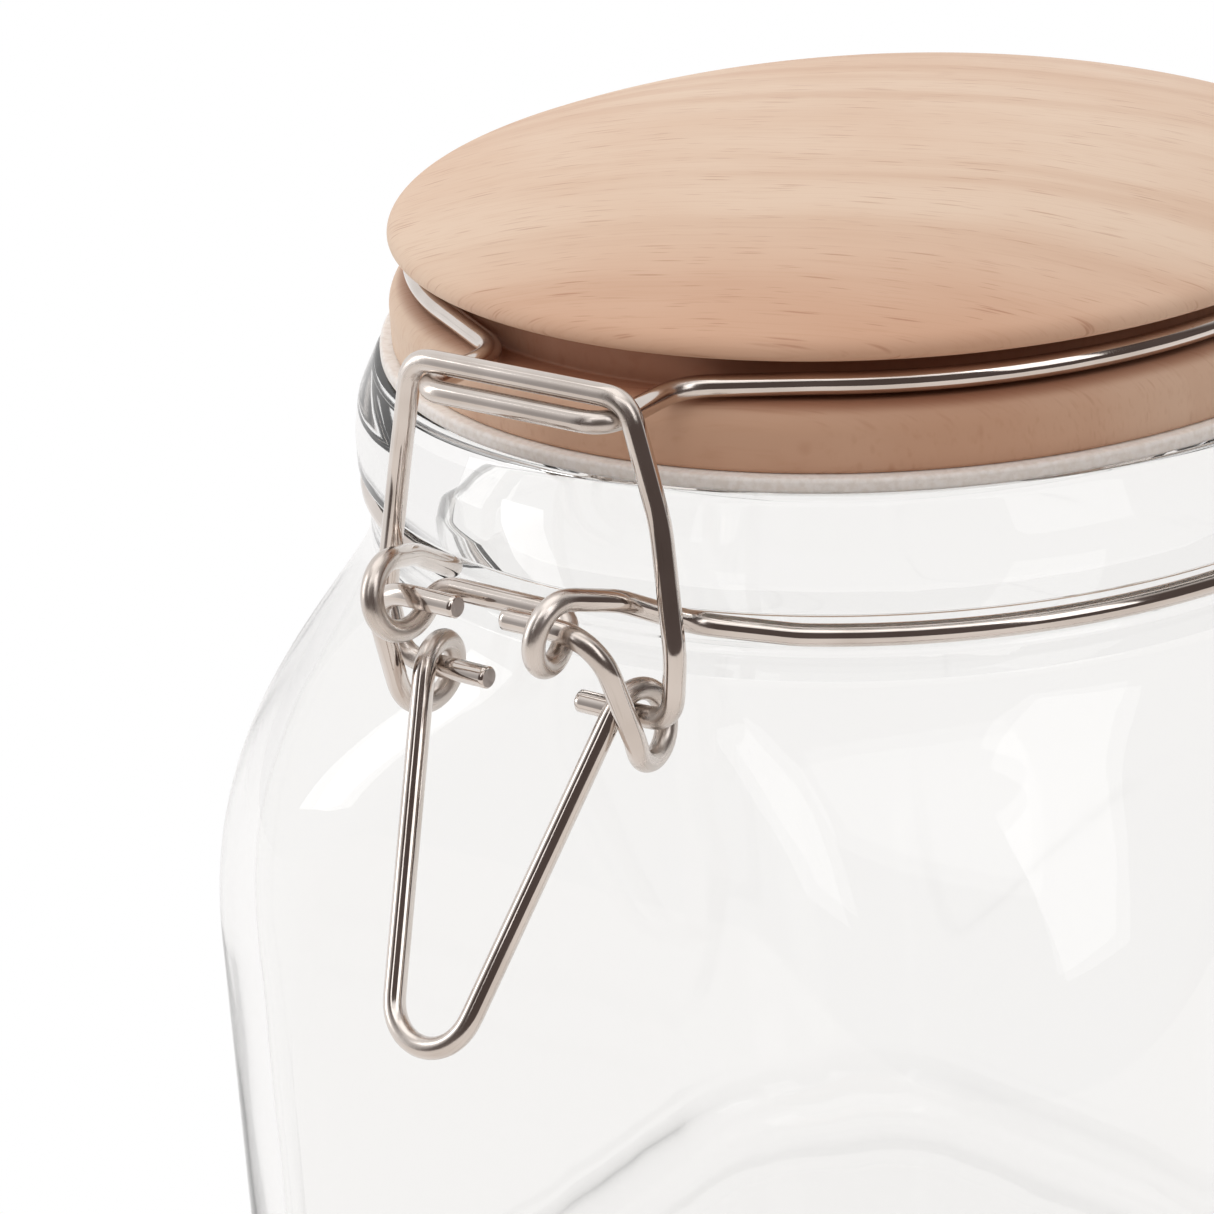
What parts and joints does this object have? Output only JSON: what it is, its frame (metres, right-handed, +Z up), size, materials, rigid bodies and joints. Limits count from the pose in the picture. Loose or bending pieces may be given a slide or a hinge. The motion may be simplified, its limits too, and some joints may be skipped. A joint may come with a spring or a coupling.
{
  "type": "clip-top glass canister",
  "caption": "Square clear glass storage jar with rounded corners, a domed turned wooden lid, a silicone gasket and a bent-wire clip latch.",
  "frame": {"origin": "centre of the flat base that the jar stands on", "axes": "+Z up along the jar's axis, -Y towards the latch, +Y towards the lid hinge, +X to the right when the latch is seen from outside"},
  "size_m": [0.128, 0.1578, 0.167],
  "materials": {
    "clear_glass": "polished clear soda-lime glass",
    "beech": "fine-sanded beech, matt, with short dark flecks",
    "silicone": "translucent milky silicone",
    "steel_wire": "satin drawn stainless wire"
  },
  "bodies": {
    "jar": {"glass_jar": "clear_glass", "neck_band": "steel_wire"},
    "lid": {"wooden_lid": "beech", "gasket": "silicone", "lid_bail": "steel_wire"},
    "lever": {"latch_lever": "steel_wire"},
    "link": {"latch_link": "steel_wire"}
  },
  "joints": [
    {"name": "lid_hinge", "type": "hinge", "parent": "jar", "child": "lid", "pos_m": [0, 0.067, 0.137], "axis": [-1, 0, 0], "range_deg": [0, 180]},
    {"name": "lever_hinge", "type": "hinge", "parent": "jar", "child": "lever", "pos_m": [0, -0.0706, 0.1344], "axis": [-1, 0, 0], "range_deg": [0, 95]},
    {"name": "link_hinge", "type": "hinge", "parent": "lever", "child": "link", "pos_m": [0, -0.0633, 0.1234], "axis": [-1, 0, 0], "range_deg": [-135, 0]}
  ],
  "couplings": [
    {"joint": "link_hinge", "follows": "lever_hinge", "ratio": -1.4}
  ]
}
